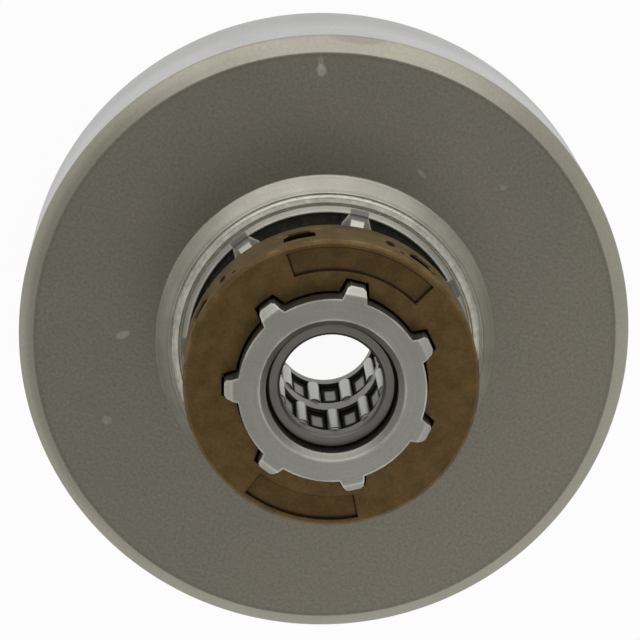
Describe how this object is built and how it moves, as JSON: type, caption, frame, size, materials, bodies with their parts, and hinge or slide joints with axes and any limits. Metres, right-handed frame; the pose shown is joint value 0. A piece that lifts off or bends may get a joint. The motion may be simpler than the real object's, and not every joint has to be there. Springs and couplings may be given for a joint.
{
  "type": "chainsaw clutch drum",
  "caption": "Steel clutch drum with a splined hub, a floating rim sprocket for the saw chain and a caged needle bearing in its bore.",
  "frame": {"origin": "centre of the drum's open mouth, in the plane that the drum stands on", "axes": "+Z along the shaft axis from the mouth to the hub's nose, +Y through a hub spline"},
  "size_m": [0.0782, 0.0782, 0.0434],
  "materials": {
    "drum_steel": "fine blasted grey steel, lighter turned bevel and wall",
    "hub_steel": "machined steel with dark forged skin in the pockets",
    "rim_alloy": "bronze-brown sintered metal",
    "cage_steel": "satin steel",
    "roller_steel": "ground and polished bearing steel"
  },
  "bodies": {
    "drum": {"drum_cup": "drum_steel", "splined_hub": "hub_steel"},
    "rim": {"rim_sprocket": "rim_alloy"},
    "cage": {"needle_cage": "cage_steel"},
    "front_roller_01": {"front_roller_01": "roller_steel"},
    "front_roller_02": {"front_roller_02": "roller_steel"},
    "front_roller_03": {"front_roller_03": "roller_steel"},
    "front_roller_04": {"front_roller_04": "roller_steel"},
    "front_roller_05": {"front_roller_05": "roller_steel"},
    "front_roller_06": {"front_roller_06": "roller_steel"},
    "front_roller_07": {"front_roller_07": "roller_steel"},
    "front_roller_08": {"front_roller_08": "roller_steel"},
    "front_roller_09": {"front_roller_09": "roller_steel"},
    "front_roller_10": {"front_roller_10": "roller_steel"},
    "rear_roller_01": {"rear_roller_01": "roller_steel"},
    "rear_roller_02": {"rear_roller_02": "roller_steel"},
    "rear_roller_03": {"rear_roller_03": "roller_steel"},
    "rear_roller_04": {"rear_roller_04": "roller_steel"},
    "rear_roller_05": {"rear_roller_05": "roller_steel"},
    "rear_roller_06": {"rear_roller_06": "roller_steel"},
    "rear_roller_07": {"rear_roller_07": "roller_steel"},
    "rear_roller_08": {"rear_roller_08": "roller_steel"},
    "rear_roller_09": {"rear_roller_09": "roller_steel"},
    "rear_roller_10": {"rear_roller_10": "roller_steel"}
  },
  "joints": [
    {"name": "rim_float", "type": "slide", "parent": "drum", "child": "rim", "axis": [0, 0, 1], "range_m": [0, 0.0028]},
    {"name": "bearing_spin", "type": "hinge", "parent": "drum", "child": "cage", "pos_m": [0, 0, 0.0284], "axis": [0, 0, 1], "continuous": true},
    {"name": "front_roller_01_spin", "type": "hinge", "parent": "cage", "child": "front_roller_01", "pos_m": [0.007, 0, 0.0343], "axis": [0, 0, 1], "continuous": true},
    {"name": "front_roller_02_spin", "type": "hinge", "parent": "cage", "child": "front_roller_02", "pos_m": [0.00566, 0.00411, 0.0343], "axis": [0, 0, 1], "continuous": true},
    {"name": "front_roller_03_spin", "type": "hinge", "parent": "cage", "child": "front_roller_03", "pos_m": [0.00216, 0.00666, 0.0343], "axis": [0, 0, 1], "continuous": true},
    {"name": "front_roller_04_spin", "type": "hinge", "parent": "cage", "child": "front_roller_04", "pos_m": [-0.00216, 0.00666, 0.0343], "axis": [0, 0, 1], "continuous": true},
    {"name": "front_roller_05_spin", "type": "hinge", "parent": "cage", "child": "front_roller_05", "pos_m": [-0.00566, 0.00411, 0.0343], "axis": [0, 0, 1], "continuous": true},
    {"name": "front_roller_06_spin", "type": "hinge", "parent": "cage", "child": "front_roller_06", "pos_m": [-0.007, 0, 0.0343], "axis": [0, 0, 1], "continuous": true},
    {"name": "front_roller_07_spin", "type": "hinge", "parent": "cage", "child": "front_roller_07", "pos_m": [-0.00566, -0.00411, 0.0343], "axis": [0, 0, 1], "continuous": true},
    {"name": "front_roller_08_spin", "type": "hinge", "parent": "cage", "child": "front_roller_08", "pos_m": [-0.00216, -0.00666, 0.0343], "axis": [0, 0, 1], "continuous": true},
    {"name": "front_roller_09_spin", "type": "hinge", "parent": "cage", "child": "front_roller_09", "pos_m": [0.00216, -0.00666, 0.0343], "axis": [0, 0, 1], "continuous": true},
    {"name": "front_roller_10_spin", "type": "hinge", "parent": "cage", "child": "front_roller_10", "pos_m": [0.00566, -0.00411, 0.0343], "axis": [0, 0, 1], "continuous": true},
    {"name": "rear_roller_01_spin", "type": "hinge", "parent": "cage", "child": "rear_roller_01", "pos_m": [0.00666, 0.00216, 0.0224], "axis": [0, 0, 1], "continuous": true},
    {"name": "rear_roller_02_spin", "type": "hinge", "parent": "cage", "child": "rear_roller_02", "pos_m": [0.00411, 0.00566, 0.0224], "axis": [0, 0, 1], "continuous": true},
    {"name": "rear_roller_03_spin", "type": "hinge", "parent": "cage", "child": "rear_roller_03", "pos_m": [0, 0.007, 0.0224], "axis": [0, 0, 1], "continuous": true},
    {"name": "rear_roller_04_spin", "type": "hinge", "parent": "cage", "child": "rear_roller_04", "pos_m": [-0.00411, 0.00566, 0.0224], "axis": [0, 0, 1], "continuous": true},
    {"name": "rear_roller_05_spin", "type": "hinge", "parent": "cage", "child": "rear_roller_05", "pos_m": [-0.00666, 0.00216, 0.0224], "axis": [0, 0, 1], "continuous": true},
    {"name": "rear_roller_06_spin", "type": "hinge", "parent": "cage", "child": "rear_roller_06", "pos_m": [-0.00666, -0.00216, 0.0224], "axis": [0, 0, 1], "continuous": true},
    {"name": "rear_roller_07_spin", "type": "hinge", "parent": "cage", "child": "rear_roller_07", "pos_m": [-0.00411, -0.00566, 0.0224], "axis": [0, 0, 1], "continuous": true},
    {"name": "rear_roller_08_spin", "type": "hinge", "parent": "cage", "child": "rear_roller_08", "pos_m": [0, -0.007, 0.0224], "axis": [0, 0, 1], "continuous": true},
    {"name": "rear_roller_09_spin", "type": "hinge", "parent": "cage", "child": "rear_roller_09", "pos_m": [0.00411, -0.00566, 0.0224], "axis": [0, 0, 1], "continuous": true},
    {"name": "rear_roller_10_spin", "type": "hinge", "parent": "cage", "child": "rear_roller_10", "pos_m": [0.00666, -0.00216, 0.0224], "axis": [0, 0, 1], "continuous": true}
  ],
  "couplings": [
    {"joint": "front_roller_01_spin", "follows": "bearing_spin", "ratio": -8},
    {"joint": "front_roller_02_spin", "follows": "bearing_spin", "ratio": -8},
    {"joint": "front_roller_03_spin", "follows": "bearing_spin", "ratio": -8},
    {"joint": "front_roller_04_spin", "follows": "bearing_spin", "ratio": -8},
    {"joint": "front_roller_05_spin", "follows": "bearing_spin", "ratio": -8},
    {"joint": "front_roller_06_spin", "follows": "bearing_spin", "ratio": -8},
    {"joint": "front_roller_07_spin", "follows": "bearing_spin", "ratio": -8},
    {"joint": "front_roller_08_spin", "follows": "bearing_spin", "ratio": -8},
    {"joint": "front_roller_09_spin", "follows": "bearing_spin", "ratio": -8},
    {"joint": "front_roller_10_spin", "follows": "bearing_spin", "ratio": -8},
    {"joint": "rear_roller_01_spin", "follows": "bearing_spin", "ratio": -8},
    {"joint": "rear_roller_02_spin", "follows": "bearing_spin", "ratio": -8},
    {"joint": "rear_roller_03_spin", "follows": "bearing_spin", "ratio": -8},
    {"joint": "rear_roller_04_spin", "follows": "bearing_spin", "ratio": -8},
    {"joint": "rear_roller_05_spin", "follows": "bearing_spin", "ratio": -8},
    {"joint": "rear_roller_06_spin", "follows": "bearing_spin", "ratio": -8},
    {"joint": "rear_roller_07_spin", "follows": "bearing_spin", "ratio": -8},
    {"joint": "rear_roller_08_spin", "follows": "bearing_spin", "ratio": -8},
    {"joint": "rear_roller_09_spin", "follows": "bearing_spin", "ratio": -8},
    {"joint": "rear_roller_10_spin", "follows": "bearing_spin", "ratio": -8}
  ]
}
